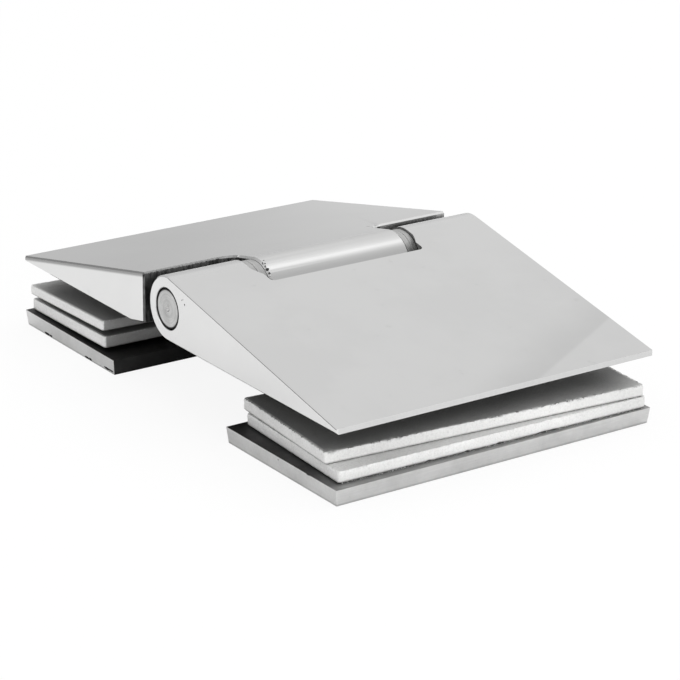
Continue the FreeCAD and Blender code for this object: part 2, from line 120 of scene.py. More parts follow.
def knockOut(piece, spots):
    # small irregular lumps are cut out of the piece: (place, size) in millimetres
    bm = bmesh.new()
    step, *others = lumps["seed"]
    for index, (place, size) in enumerate(spots):
        centre = Vector(place) * mm
        seed = Vector((index * step, *others))
        lump = bmesh.ops.create_icosphere(bm, subdivisions=2, radius=1.0)
        for vert in lump["verts"]:
            dent = 1 + lumps["unevenness"] * noise.noise(vert.co * lumps["grain"] + seed)
            vert.co = centre + Vector(c * s * mm * dent for c, s in zip(vert.co, size))
    # the cut faces are marked fully raw: the bare metal of the cut, and painted shade in the pits, chips and
    # nicks
    markFaces(bm, "rawAndShade", lambda normal, middle: 1.0)
    cutter = asObject("cutter", bm)
    cut = piece.modifiers.new("chips", "BOOLEAN")
    cut.operation = "DIFFERENCE"
    cut.solver = "EXACT"
    cut.use_self = True                 # neighbouring lumps may overlap
    cut.object = cutter
    settle(piece)
    bpy.data.objects.remove(cutter)


def place(piece, body, slot, material, *replaced):
    if not piece.data.materials:
        piece.data.materials.append(material)
    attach(piece, body)
    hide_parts(*replaced)


# Shader nodes

def newMaterial(name, metallic, roughness):
    material = bpy.data.materials.new(name)
    material.use_nodes = True
    tree = material.node_tree
    shader = next(node for node in tree.nodes if node.type == "BSDF_PRINCIPLED")
    shader.inputs["Metallic"].default_value = metallic
    shader.inputs["Roughness"].default_value = roughness
    return material, tree, shader


def feed(tree, socket, value):
    if isinstance(value, bpy.types.NodeSocket):
        tree.links.new(value, socket)
    else:
        socket.default_value = value


def calc(tree, operation, *values):
    node = tree.nodes.new("ShaderNodeMath")
    node.operation = operation
    for socket, value in zip(node.inputs, values):
        feed(tree, socket, value)
    return node.outputs[0]


def times(tree, product, *factors):
    for factor in factors:
        product = calc(tree, "MULTIPLY", product, factor)
    return product


def less(tree, amount, share=1.0):
    # what a share of the amount leaves of 1
    if share != 1.0:
        amount = times(tree, amount, share)
    return calc(tree, "SUBTRACT", 1.0, amount)


def hypotenuse(tree, a, b):
    return calc(tree, "SQRT", calc(tree, "ADD", times(tree, a, a), times(tree, b, b)))


def ramp(tree, value, low, high, outLow=0.0, outHigh=1.0):
    node = tree.nodes.new("ShaderNodeMapRange")
    node.interpolation_type = "SMOOTHSTEP"
    for label, amount in (("Value", value), ("From Min", low), ("From Max", high),
                          ("To Min", outLow), ("To Max", outHigh)):
        feed(tree, node.inputs[label], amount)
    return node.outputs["Result"]


def millimetres(tree, stretch=(1, 1, 1), shift=(0, 0, 0)):
    # object coordinates in millimetres, stretched along an axis by dividing its scale
    coordinates = tree.nodes.new("ShaderNodeTexCoord")
    mapping = tree.nodes.new("ShaderNodeMapping")
    mapping.inputs["Location"].default_value = shift
    mapping.inputs["Scale"].default_value = [1 / mm / s for s in stretch]
    tree.links.new(coordinates.outputs["Object"], mapping.inputs["Vector"])
    return mapping.outputs["Vector"]


def grain(tree, vector, scale, detail=3.0, roughness=0.5):
    node = tree.nodes.new("ShaderNodeTexNoise")
    tree.links.new(vector, node.inputs["Vector"])
    node.inputs["Scale"].default_value = scale
    node.inputs["Detail"].default_value = detail
    node.inputs["Roughness"].default_value = roughness
    return node.outputs["Fac"]


def mark(tree, name):
    node = tree.nodes.new("ShaderNodeAttribute")
    node.attribute_name = name
    return node.outputs["Fac"]


def xyz(tree, vector):
    node = tree.nodes.new("ShaderNodeSeparateXYZ")
    tree.links.new(vector, node.inputs["Vector"])
    return node.outputs[0], node.outputs[1], node.outputs[2]


def onEachAxis(tree, value):
    node = tree.nodes.new("ShaderNodeCombineXYZ")
    for socket in node.inputs:
        feed(tree, socket, value)
    return node.outputs[0]


def tint(tree, shader, colour, *factors):
    # the colour, darkened by each factor in turn
    node = tree.nodes.new("ShaderNodeVectorMath")
    node.operation = "SCALE"
    node.inputs[0].default_value = colour
    tree.links.new(times(tree, *factors), node.inputs["Scale"])
    tree.links.new(node.outputs["Vector"], shader.inputs["Base Color"])


def bump(tree, shader, height, strength, distance):
    node = tree.nodes.new("ShaderNodeBump")
    node.inputs["Strength"].default_value = strength
    node.inputs["Distance"].default_value = distance * mm
    tree.links.new(height, node.inputs["Height"])
    tree.links.new(node.outputs["Normal"], shader.inputs["Normal"])


# Leaves: polished wedges with their knuckles

leaf = {
    "colour": (0.74, 0.74, 0.737),
    "roughness": 0.012,
    "smudgedRoughness": 0.008,  # this and the next two add to the first
    "barrelRoughness": 0.14,
    "rawRoughness": 0.35,
    "smudgeSize": 0.035,        # per millimetre
    "smudgeShade": 0.97,
    "spotShade": 0.04,
    "hairlineStretch": (30, 1, 1),
    "slope": 11.9,              # degrees, the upper faces to the horizontal
    "barrelRadius": 8.0,        # millimetres, as are all places below
    "bevel": 0.4,
    "nearEdgeLine": (0.1, 0.62),       # width and darkness of the darker line along the right leaf's near edge
    "edgeBand": (1.4, 0.58),    # the same for the darker band under the left leaf's near edge
    "pinGapShade": (0.1, 0.2, 0.9),         # painted shade of the gap round the pin: where it starts to fade, where it ends, its darkness
    "nearEnd": -44.9,
    "boreDepth": 0.8,
    "slotEnds": 25.0,
    "knuckleEnds": 20.25,
    "innerWall": 11.5,
    "wallEdge": (10.8, 30.98),  # y and z of the left leaf's upper inner edge
    "tornEdge": (-44.2, -23.4, 20),     # where its torn part starts and ends, and the number of notches
    "farSpot": (23.0, 2.5, 5.0),        # place of the paler spot on the far inner wall, and where it fades out
    "farSpotRaw": 0.4,
}
# how far faces are left raw, from 0 for polished to 1 for as cut; on the underside, in the slot and on the inner
# wall and bevel by the gap the darkening is also painted shade
cutAndShadedFaces = {
    "underside": 0.95,
    "tip": 0.16,                # the tip's narrow face is ground, not polished
    "slotEnds": 0.8,
    "slotWall": 0.95,
    "innerWall": 1.0,
    "tornBevel": 0.7,
    "farBevel": 0.05,
    "knuckleEnds": 0.35,
}
square, leaning, upright = 0.9, 0.7, 0.3        # the part of a face's normal along an axis

rightLeafPits = (
    ((-45.0, -7.85, 28.40), (0.16, 0.26, 0.26)),
    ((-45.0, -6.65, 29.20), (0.12, 0.16, 0.16)),
    ((-45.0, -7.15, 29.50), (0.10, 0.12, 0.14)),
    ((-45.0, -63.0, 20.60), (0.10, 0.18, 0.12)),
)
knuckleChips = (
    ((-20.30, -2.5, 32.72), (0.60, 0.38, 0.30)),
    ((-20.30, -3.7, 32.25), (0.75, 0.32, 0.40)),
    ((-20.30, -4.7, 31.60), (0.95, 0.55, 0.46)),
    ((-20.30, -5.6, 30.90), (0.75, 0.42, 0.40)),
    ((-19.50, -3.0, 32.52), (0.24, 0.26, 0.24)),
    ((-19.15, -1.9, 32.90), (0.22, 0.22, 0.20)),
)
farCornerScars = (
    ((21.0, 11.35, 30.92), (1.30, 0.55, 0.26)),
    ((22.4, 11.10, 30.96), (1.00, 0.60, 0.30)),
    ((23.9, 10.95, 30.98), (1.10, 0.45, 0.28)),
    ((25.4, 10.85, 30.98), (0.80, 0.35, 0.22)),
)
leftEndDents = (
    ((-44.9, 10.8, 26.0), (0.20, 0.30, 0.60)),
    ((-44.9, 10.8, 22.3), (0.16, 0.20, 0.40)),
)


def tornEdge():
    # notches along the left leaf's upper inner edge, larger towards the knuckle
    first, last, count = leaf["tornEdge"]
    y, z = leaf["wallEdge"]
    spots = []
    for index in range(count):
        wander = noise.noise(Vector((index * 1.7, 3.3, 0.4)))
        along = first + (last - first) * (index + wander) / count
        size = 0.45 + 0.5 * index / count + 0.35 * wander
        spots.append(((along, y, z), (size, 0.22 + 0.25 * abs(wander), 0.16 + 0.1 * index / count)))
    return tuple(spots)


def rightLeafRawAndShade(normal, middle):
    # the underside is darkened further as painted shade, which deepens the shade on the pads below
    if normal.z < -square:
        return cutAndShadedFaces["underside"]
    if normal.y < -square:
        return cutAndShadedFaces["tip"]
    if abs(middle.x) > leaf["slotEnds"] or middle.y < -leaf["innerWall"]:
        return 0.0
    # the slot's ends and wall are as cut, and darkened as painted shade of the deep slot
    if abs(normal.x) > leaning:
        return cutAndShadedFaces["slotEnds"]
    return cutAndShadedFaces["slotWall"] if normal.y > leaning else 0.0


def leftLeafRawAndShade(normal, middle):
    # the underside is darkened further as painted shade, which deepens the shade on the pads below
    if normal.z < -square:
        return cutAndShadedFaces["underside"]
    # the inner wall facing the gap and the bevel above it are as cut, and darkened as painted shade
    if middle.y < leaf["innerWall"] and abs(middle.x) > leaf["knuckleEnds"]:
        if abs(normal.z) < upright:
            return cutAndShadedFaces["innerWall"]
        if normal.z < square:
            return cutAndShadedFaces["tornBevel" if middle.x < 0 else "farBevel"]
    return cutAndShadedFaces["knuckleEnds"] if abs(normal.x) > leaning and abs(middle.x) < leaf["slotEnds"] else 0.0


def leafMaterial(side):
    name = "rightLeafSteel" if side < 0 else "leftLeafSteel"
    material, tree, shader = newMaterial(name, 1.0, leaf["roughness"])
    plain = millimetres(tree)
    x, y, z = xyz(tree, plain)
    smudges = ramp(tree, grain(tree, plain, leaf["smudgeSize"], 4.0, 0.6), 0.35, 0.7)
    hairlines = grain(tree, millimetres(tree, leaf["hairlineStretch"]), 2.2, 4.0, 0.6)
    spots = ramp(tree, grain(tree, plain, 0.28, 2.0, 0.5), 0.70, 0.78)

    # the near end's upper edge: a darker line on the right leaf, a darker band on the left one
    angle = math.radians(leaf["slope"])
    up = calc(tree, "SUBTRACT", z, axisHeight / mm)
    height = calc(tree, "ADD", times(tree, up, math.cos(angle)), times(tree, y, side * math.sin(angle)))
    below = calc(tree, "SUBTRACT", leaf["barrelRadius"], height)        # how far under the upper face's plane
    if side < 0:
        width, dark = leaf["nearEdgeLine"]
        fromLine = calc(tree, "ABSOLUTE", calc(tree, "SUBTRACT", below, leaf["bevel"]))
        edge = ramp(tree, fromLine, width * 0.4, width, dark, 0.0)
        atEnd = calc(tree, "LESS_THAN", x, leaf["nearEnd"])
    else:
        width, dark = leaf["edgeBand"]
        edge = ramp(tree, below, width * 0.5, width, dark, 0.0)
        atEnd = calc(tree, "LESS_THAN", x, leaf["nearEnd"] + leaf["bevel"])
    edge = times(tree, edge, atEnd)

    # painted shade of the gap round the pin
    outside = hypotenuse(tree, y, up)
    fading, gone, dark = leaf["pinGapShade"]
    ring = ramp(tree, outside, pinRadius / mm + fading, pinRadius / mm + gone, dark, 0.0)
    ring = times(tree, ring, calc(tree, "LESS_THAN", x, leaf["nearEnd"] + leaf["boreDepth"]))
    inBarrel = ramp(tree, outside, leaf["barrelRadius"] + 0.02, leaf["barrelRadius"] + 0.3, 1.0, 0.0)
    # the raw mark: as-cut faces, and partly painted shade on the underside, in the slot and on the inner wall by
    # the gap
    rawAndShade = mark(tree, "rawAndShade")
    if side > 0:        # the left leaf's inner wall is paler high up, beyond the knuckle
        rawAndShade = times(tree, rawAndShade, ramp(tree, below, 0.3, 1.5, ramp(tree, x, 18.0, 20.0, 0.97, 0.55), 1.0))
        spot, inner, outer = leaf["farSpot"]
        beyond = calc(tree, "ABSOLUTE", calc(tree, "SUBTRACT", x, spot))
        onWall = ramp(tree, z, 18.0, 20.0, 1.0, leaf["farSpotRaw"])      # not on the underside
        rawAndShade = times(tree, rawAndShade, ramp(tree, beyond, inner, outer, onWall, 1.0))
    cutterMarks = ramp(tree, grain(tree, millimetres(tree, (1, 1, 5)), 1.6, 3.0, 0.6), 0.3, 0.7, 0.72, 0.92)

    tint(tree, shader, leaf["colour"], ramp(tree, smudges, 0.0, 1.0, 1.0, leaf["smudgeShade"]),
         less(tree, spots, leaf["spotShade"]), less(tree, edge), less(tree, ring), less(tree, rawAndShade, cutterMarks))
    rough = leaf["roughness"]
    for amount, key in ((smudges, "smudgedRoughness"), (inBarrel, "barrelRoughness"), (rawAndShade, "rawRoughness")):
        rough = calc(tree, "ADD", rough, times(tree, amount, leaf[key]))
    tree.links.new(rough, shader.inputs["Roughness"])
    bump(tree, shader, times(tree, hairlines, inBarrel), 0.05, 0.02)     # the flats are polished
    return material


def makeLeaf(nodeName, side, marks, rawAndShadeRule):
    bm = mergedCopy(nodeName)
    markFaces(bm, "rawAndShade", rawAndShadeRule)
    piece = asObject(nodeName + "Finished", bm)
    knockOut(piece, marks)
    evenShading(piece)
    place(piece, nodeName, "leaf_steel", leafMaterial(side), nodeName)


makeLeaf("right_leaf", -1, rightLeafPits, rightLeafRawAndShade)
makeLeaf("left_leaf", 1, knuckleChips + farCornerScars + leftEndDents + tornEdge(), leftLeafRawAndShade)
print("leaves finished")


# Turned pieces: the pin, its bushes and the thrust washers

turned = {
    "segments": 96,
    "pinChamfer": 0.3,
    "centreRadius": 0.7,
    "centreDepth": 0.45,
    "lip": 0.06,
    "edge": 0.06,               # broken edge of washers and bushes
    "bushGap": 0.05,            # between the pin and the bores
    "washerGap": 0.1,
}
# lines: how fine the turning marks are, contrast: how much they darken
finishes = {
    "pinSteel": {"colour": (0.57, 0.57, 0.565), "roughness": 0.26, "lines": 1.7, "contrast": 0.18},
    "washerSteel": {"colour": (0.6, 0.6, 0.595), "roughness": 0.55, "lines": 2.4, "contrast": 0.14},
    "bushPlastic": {"colour": (0.82, 0.82, 0.8), "roughness": 0.5, "lines": 1.5, "contrast": 0.05},
    "screwSteel": {"colour": (0.5, 0.5, 0.5), "roughness": 0.36, "lines": 0.8, "contrast": 0.12},
}


def lathe(bm, rows, turn, segments):
    # each row is a radius and a height, or a function of the angle and a height; a row of radius 0 is a pole
    rings = []
    for radius, height in rows:
        if radius == 0:
            rings.append([bm.verts.new(turn @ Vector((0, 0, height)))] * segments)
            continue
        ring = []
        for step in range(segments):
            angle = 2 * math.pi * step / segments
            reach = radius(angle) if callable(radius) else radius
            ring.append(bm.verts.new(turn @ Vector((reach * math.cos(angle), reach * math.sin(angle), height))))
        rings.append(ring)
    for low, high in zip(rings, rings[1:]):
        for step in range(segments):
            after = (step + 1) % segments
            corners = dict.fromkeys((low[step], low[after], high[after], high[step]))
            bm.faces.new(list(corners))


def alongAxis(start):
    # lathe heights run along plus X from start
    return Matrix.Translation((start, 0, axisHeight)) @ Matrix.Rotation(math.radians(90), 4, "Y")


def turnedSurface(name, metallic=1.0, gapShadeFrom=None):
    # turned or ground: fine rings about the hinge axis and a soft mottling, and from a radius outwards a painted
    # shade of the gap round the pin
    finish = finishes[name]
    material, tree, shader = newMaterial(name, metallic, finish["roughness"])
    plain = millimetres(tree, shift=(0, 0, -axisHeight / mm))
    x, y, z = xyz(tree, plain)
    outside = hypotenuse(tree, y, z)
    alongMarks = tree.nodes.new("ShaderNodeCombineXYZ")
    for socket, distance in zip(alongMarks.inputs, (x, outside)):
        feed(tree, socket, times(tree, distance, finish["lines"]))
    rings = grain(tree, alongMarks.outputs[0], 1.0, 2.0, 0.5)
    mottling = grain(tree, plain, 0.35, 3.0, 0.5)
    factors = [ramp(tree, rings, 0.3, 0.7, 1.0, 1.0 - finish["contrast"]),
               ramp(tree, mottling, 0.38, 0.62, 1.0, 0.86)]
    if gapShadeFrom:
        factors.append(ramp(tree, outside, gapShadeFrom, gapShadeFrom + 0.08, 1.0, 0.04))
    tint(tree, shader, finish["colour"], *factors)
    bump(tree, shader, rings, 0.25, 0.03)
    return material


def makePin():
    length, radius = pinHigh.x - pinLow.x, pinRadius
    chamfer, dimple, depth = (turned[key] * mm for key in ("pinChamfer", "centreRadius", "centreDepth"))
    lip = turned["lip"] * mm
    half = [(0, depth), (dimple * 0.4, depth * 0.9), (dimple, 0), (dimple * 1.15, -lip), (dimple * 1.4, -lip),
            (dimple * 1.6, 0), (radius * 0.55, lip * 0.3), (radius - chamfer, 0), (radius, chamfer)]
    rows = half + [(r, length - h) for r, h in reversed(half)]
    bm = bmesh.new()
    lathe(bm, rows, alongAxis(pinLow.x), turned["segments"])
    bmesh.ops.recalc_face_normals(bm, faces=bm.faces)
    piece = asObject("pinTurned", bm)
    evenShading(piece)
    # the pin's chamfer is painted almost black: painted shade of the gap round it
    material = turnedSurface("pinSteel", gapShadeFrom=(radius - chamfer) / mm - 0.3)
    place(piece, "right_leaf", "pin_steel", material, "hinge_pin")


def makeRing(name, nodeName, body, slot, bore, material):
    low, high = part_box(nodeName)
    length, radius, edge = high.x - low.x, (high.z - low.z) / 2, turned["edge"] * mm
    rows = [(bore + edge, 0), (radius - edge, 0), (radius, edge), (radius, length - edge),
            (radius - edge, length), (bore + edge, length), (bore, length - edge), (bore, edge)]
    bm = bmesh.new()
    lathe(bm, rows + rows[:1], alongAxis(low.x), turned["segments"])
    bmesh.ops.remove_doubles(bm, verts=bm.verts, dist=weldDistance)
    bmesh.ops.recalc_face_normals(bm, faces=bm.faces)
    piece = asObject(name, bm)
    evenShading(piece)
    place(piece, body, slot, material, nodeName)


makePin()
washerMetal = turnedSurface("washerSteel")
bushPlastic = turnedSurface("bushPlastic", metallic=0.0)
for end in ("near", "far"):
    makeRing(end + "BushTurned", end + "_bush", "left_leaf", "bush_plastic",
             pinRadius + turned["bushGap"] * mm, bushPlastic)
    for order in ("inner", "outer"):
        makeRing(f"{end}{order.title()}WasherTurned", f"{end}_{order}_washer", "right_leaf", "washer_steel",
                 pinRadius + turned["washerGap"] * mm, washerMetal)
print("pin, bushes and washers turned")


# Geometry node trees

def newTree(name, inputs):
    tree = bpy.data.node_groups.new(name, "GeometryNodeTree")
    tree.interface.new_socket("Geometry", in_out="INPUT", socket_type="NodeSocketGeometry")
    for label, kind in inputs:
        tree.interface.new_socket(label, in_out="INPUT", socket_type="NodeSocket" + kind)
    tree.interface.new_socket("Geometry", in_out="OUTPUT", socket_type="NodeSocketGeometry")
    start = tree.nodes.new("NodeGroupInput")
    end = tree.nodes.new("NodeGroupOutput")
    return tree, start, end


def addNode(tree, kind, settings=None, **inputs):
    node = tree.nodes.new("GeometryNode" + kind)
    for key, value in (settings or {}).items():
        setattr(node, key, value)
    for label, value in inputs.items():
        feed(tree, node.inputs[label.replace("_", " ")], value)
    return node


def grow(piece, tree, values):
    # runs the tree on the piece; each input is set by its socket's identifier first
    modifier = piece.modifiers.new("grown", "NODES")
    modifier.node_group = tree
    for item in tree.interface.items_tree:
        if item.in_out == "INPUT" and item.name in values:
            modifier[item.identifier] = values[item.name]
    settle(piece)


# Clamp and pin screws: a lathed body with a hexagon socket, and a thread grown round it

clampScrew = {
    "segments": 48,
    "shank": 2.98,
    "core": 2.45,
    "pitch": 1.0,
    "headHeight": 3.0,          # millimetres, like the rest
    "headLand": 0.25,
    "hex": 4.0,
    "socketDepth": 2.2,
    "tip": 0.8,
    "threadStart": 4.2,
}
pinScrew = {
    "segments": 48,
    "shank": 1.48,
    "core": 1.2,
    "pitch": 0.5,
    "hex": 1.5,
    "socketDepth": 1.1,
    "tip": 0.3,
    "threadStart": 0.35,
}


def threadTree():
    ridgeShare = 0.62           # of the thread's depth, for the ridge's radius
    tree, start, end = newTree("screwThread", (
        ("Radius", "Float"), ("Depth", "Float"), ("Pitch", "Float"), ("From", "Float"),
        ("Length", "Float"), ("Material", "Material")))
    out = start.outputs
    turns = calc(tree, "DIVIDE", out["Length"], out["Pitch"])
    ridgeRadius = times(tree, out["Depth"], ridgeShare)
    middle = calc(tree, "SUBTRACT", out["Radius"], ridgeRadius)
    spiral = addNode(tree, "CurveSpiral", Resolution=28, Rotations=turns, Start_Radius=middle,
                     End_Radius=middle, Height=out["Length"], Reverse=False)
    straight = addNode(tree, "SetCurveNormal", {"mode": "Z_UP"}, Curve=spiral.outputs[0])
    profile = addNode(tree, "CurvePrimitiveCircle", {"mode": "RADIUS"}, Resolution=3, Radius=ridgeRadius)
    ridge = addNode(tree, "CurveToMesh", Curve=straight.outputs[0], Profile_Curve=profile.outputs[0],
                    Fill_Caps=True)
    lift = tree.nodes.new("ShaderNodeCombineXYZ")
    tree.links.new(out["From"], lift.inputs[2])
    raised = addNode(tree, "Transform", Geometry=ridge.outputs[0], Translation=lift.outputs[0])
    points = addNode(tree, "MeshToPoints", Mesh=out["Geometry"])
    copies = addNode(tree, "InstanceOnPoints", Points=points.outputs[0], Instance=raised.outputs[0])
    real = addNode(tree, "RealizeInstances", Geometry=copies.outputs[0])
    painted = addNode(tree, "SetMaterial", Geometry=real.outputs[0], Material=out["Material"])
    tree.links.new(painted.outputs[0], end.inputs[0])
    return tree


def screwRows(size, headRadius, length):
    # from the socket's floor, over the head, along the thread's core to the tip
    flats = size["hex"] / 2

    def socket(angle):
        return flats * mm / math.cos(angle % (math.pi / 3) - math.pi / 6)

    core, tip = size["core"] * mm, size["tip"] * mm
    rows = [(0, size["socketDepth"] * mm), (socket, size["socketDepth"] * mm), (socket, 0)]
    if headRadius > size["shank"] * mm * 1.2:
        land, neck = size["headLand"] * mm, size["headHeight"] * mm
        rows += [(headRadius - land, 0), (headRadius, 0.4 * land), (headRadius, land),
                 (size["shank"] * mm, neck), (size["shank"] * mm, size["threadStart"] * mm)]
    else:
        rows += [(core, 0)]
    rows += [(core, size["threadStart"] * mm + tip / 2), (core, length - tip),
             (core - tip * 0.8, length), (0, length)]
    return rows


def makeScrews(name, body, size, thread, material, *nodeNames):
    boxes = [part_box(nodeName) for nodeName in nodeNames]
    feet = [Vector(((low.x + high.x) / 2, (low.y + high.y) / 2, low.z)) for low, high in boxes]
    low, high = boxes[0]
    length = high.z - low.z
    bm = bmesh.new()
    for foot in feet:
        bm.verts.new(foot)
    piece = asObject(name, bm)
    start = size["threadStart"] * mm
    grow(piece, thread, {
        "Radius": size["shank"] * mm, "Depth": (size["shank"] - size["core"]) * mm,
        "Pitch": size["pitch"] * mm, "From": start, "Length": length - start - size["tip"] * 1.2 * mm,
        "Material": material})
    bm = bmesh.new()
    bm.from_mesh(piece.data)
    for foot in feet:
        lathe(bm, screwRows(size, (high.x - low.x) / 2, length), Matrix.Translation(foot), size["segments"])
    bmesh.ops.recalc_face_normals(bm, faces=bm.faces)
    bm.to_mesh(piece.data)
    bm.free()
    evenShading(piece, 28)
    place(piece, body, "screw_steel", material, *nodeNames)


threadOnce = threadTree()
screwMetal = turnedSurface("screwSteel")
for side in ("right", "left"):
    makeScrews(side + "ClampScrews", side + "_leaf", clampScrew, threadOnce, screwMetal,
               side + "_near_clamp_screw", side + "_far_clamp_screw")
makeScrews("pinScrews", "right_leaf", pinScrew, threadOnce, screwMetal, "near_pin_screw", "far_pin_screw")
print("screws threaded")


# Back plates: satin plates with broken and nicked edges

plate = {
    "colour": (0.76, 0.76, 0.755),
    "roughness": 0.34,
    "edge": 0.12,               # millimetres, like the rest
    "brushStretch": (40, 1, 1),
    "rawAndShade": 0.95,                # the broad faces are left dull and darkened, partly as painted shade under the pads, and the side towards the hinge is darkened as painted shade
    "innerSide": 26.0,
    "foot": (0.15, 0.75, 0.72),         # the darker foot: up to, fading by, how bright
    "wearAndShade": (-69.0, -55.0, 0.74, 0.96),     # painted shade, lighter towards the tip: from the right tip inwards, how much of the darkening is left
    "tipStrip": (-69.7, -66.5, 0.55),       # and less again on the strip along the tip: a painted lighter strip
}
leftPlateNicks = (
    ((-44.62, 59.6, 0.50), (0.40, 1.5, 0.34)),
    ((-44.62, 57.6, 0.55), (0.35, 0.7, 0.30)),
    ((-44.62, 39.2, 0.45), (0.40, 1.1, 0.30)),
    ((-44.62, 37.6, 0.50), (0.35, 0.7, 0.34)),
    ((-44.64, 29.4, 0.70), (0.40, 1.7, 0.28)),
    ((-44.64, 27.2, 0.75), (0.35, 1.0, 0.26)),
)
rightPlateNicks = (
    ((-45.0, -47.2, 3.3), (0.12, 0.5, 0.14)),
    ((-45.0, -59.0, 3.9), (0.12, 0.7, 0.12)),
    ((-27.6, -70.0, 2.3), (0.3, 0.1, 0.14)),
    ((-20.0, -25.5, 4.0), (1.1, 0.3, 0.25)),
)


# the broad faces are dull and darkened, partly as painted shade under the pads; the side towards the hinge is
# darkened as painted shade
def plateRawAndShade(normal, middle):
    innerSide = abs(middle.y) < plate["innerSide"] and abs(normal.y) > square
    return plate["rawAndShade"] if abs(normal.z) > square or innerSide else 0.0


def plateMaterial():
    material, tree, shader = newMaterial("plateSteel", 1.0, plate["roughness"])
    plain = millimetres(tree)
    _, y, z = xyz(tree, plain)
    brush = grain(tree, millimetres(tree, plate["brushStretch"]), 3.0, 4.0, 0.6)
    patches = grain(tree, plain, 0.12, 5.0, 0.65)
    scuffs = ramp(tree, grain(tree, plain, 1.3, 4.0, 0.7), 0.62, 0.75)
    rawAndShade = mark(tree, "rawAndShade")
    # painted shade on the broad faces, thinning out towards the right tip, with a painted lighter strip along it
    darkeningKept = times(tree, ramp(tree, y, *plate["wearAndShade"]), ramp(tree, y, *plate["tipStrip"], 1.0))
    tint(tree, shader, plate["colour"], ramp(tree, patches, 0.3, 0.75, 1.0, 0.86),
         ramp(tree, brush, 0.3, 0.7, 1.0, 0.94), less(tree, scuffs, 0.14),
         ramp(tree, z, *plate["foot"], 1.0), less(tree, rawAndShade, darkeningKept))
    rough = ramp(tree, patches, 0.3, 0.7, plate["roughness"] - 0.05, plate["roughness"] + 0.1)
    rough = calc(tree, "ADD", rough, times(tree, rawAndShade, 0.2))
    tree.links.new(rough, shader.inputs["Roughness"])
    bump(tree, shader, brush, 0.12, 0.03)
    return material


plateMetal = plateMaterial()
for side, nicks in (("right", rightPlateNicks), ("left", leftPlateNicks)):
    bm = mergedCopy(side + "_back_plate")
    markFaces(bm, "rawAndShade", plateRawAndShade)
    piece = asObject(side + "BackPlateFinished", bm)
    softenEdges(piece, plate["edge"] * mm)
    knockOut(piece, nicks)
    evenShading(piece)
    place(piece, side + "_clamp", "plate_steel", plateMetal, side + "_back_plate")
print("back plates finished")


# Gaskets: pale pads with sawn, crumbling sides

gasket = {
    "colour": (0.905, 0.905, 0.895),
    "corner": 0.7,
    "topShadow": (0.74, 0.28),    # painted shadow of the leaf on the top: under the leaf, and towards the tip
    "topShadowFade": (57.0, 69.5),    # where the painted shadow thins out towards the tip
    "innerShade": 0.6,           # painted shade on the side towards the hinge
    "footShade": 0.85,           # painted contact shade along the bottom edge
    "farShade": (10.0, 46.0, 0.82),     # painted shade, darker towards the far end: from, to, how bright
    "step": 0.28,               # between the points round the outline, in millimetres
    "wallRows": 8,
    "round": 0.13,              # how far the top and bottom edges draw in
    "rim": 1.0,                 # width of the paler margin round a top with painted shadow
    "holeSegments": 64,
}
# bare: whether the top is left without its painted shadow, as pale as the sides, splay: how far the near corner
# reaches out past square
# flecks: dark ones along the top and bottom edges, painted shade of small chips there, rough and crumble: depth
# of the sawn side and of its crumbs
# chips in the side towards minus Y: place along the hinge, bottom (0) or top (1) edge, half width and depth
gasketWearAndShade = {
    "right_lower_gasket": {
        "bare": 1.0, "splay": 2.4, "flecks": 0.4, "rough": 0.10, "crumble": 0.30, "seed": 3.0,
        "chips": ((-36.6, 1, 0.8, 0.4), (-19.0, 0, 0.7, 0.35), (0.6, 0, 0.8, 0.4), (14.0, 0, 2.2, 0.4),
                  (16.5, 0, 0.6, 0.5), (28.0, 0, 0.5, 0.3), (-8.5, 0, 0.6, 0.35)),
    },
    "right_upper_gasket": {
        "bare": 0.0, "splay": 0.0, "flecks": 1.0, "rough": 0.10, "crumble": 0.34, "seed": 11.0,
        "chips": ((22.0, 1, 0.7, 0.5), (25.0, 1, 0.9, 0.6), (28.2, 1, 0.6, 0.4), (37.0, 1, 0.7, 0.35),
                  (-42.0, 1, 1.4, 0.6), (-27.0, 1, 1.2, 0.5), (-24.4, 1, 0.7, 0.45), (3.0, 1, 0.7, 0.4),
                  (9.5, 1, 0.6, 0.35), (12.5, 1, 0.7, 0.45)),
    },
    "left_lower_gasket": {
        "bare": 0.0, "splay": 0.0, "flecks": 0.2, "rough": 0.07, "crumble": 0.16, "seed": 23.0,
        "chips": ((-30.0, 1, 1.2, 0.3),),
    },
    "left_upper_gasket": {
        "bare": 0.0, "splay": 0.0, "flecks": 0.1, "rough": 0.06, "crumble": 0.14, "seed": 37.0,
        "chips": ((-12.0, 0, 1.1, 0.3),),
    },
}


def padShape(nodeName):
    # the pad's own axes, half sizes and holes, read from its solid
    bm = mergedCopy(nodeName)
    flat = max(bm.faces, key=lambda face: face.calc_area())
    up = flat.normal.copy()
    if up.z < 0:
        up.negate()
    longest = max((edge for edge in bm.edges if edge.calc_face_angle(0) > 1), key=lambda edge: edge.calc_length())
    along = (longest.verts[1].co - longest.verts[0].co).normalized()
    if along.x < 0:
        along.negate()
    across = up.cross(along)
    turn = Matrix((along, across, up)).to_4x4()
    local = [turn @ vert.co for vert in bm.verts]
    bm.free()
    low = Vector(min(p[i] for p in local) for i in range(3))
    high = Vector(max(p[i] for p in local) for i in range(3))
    middle = (low + high) / 2
    holes = []
    for side in (-1, 1):
        ring = [p for p in local if (p.x - middle.x) * side > 0 and low.y + mm < p.y < high.y - mm]
        xs, ys = [p.x for p in ring], [p.y for p in ring]
        centre = Vector(((min(xs) + max(xs)) / 2, (min(ys) + max(ys)) / 2, 0)) - Vector((middle.x, middle.y, 0))
        holes.append((centre, (max(xs) - min(xs)) / 2))
    return turn.inverted() @ Matrix.Translation(middle), (high - low) / 2, holes


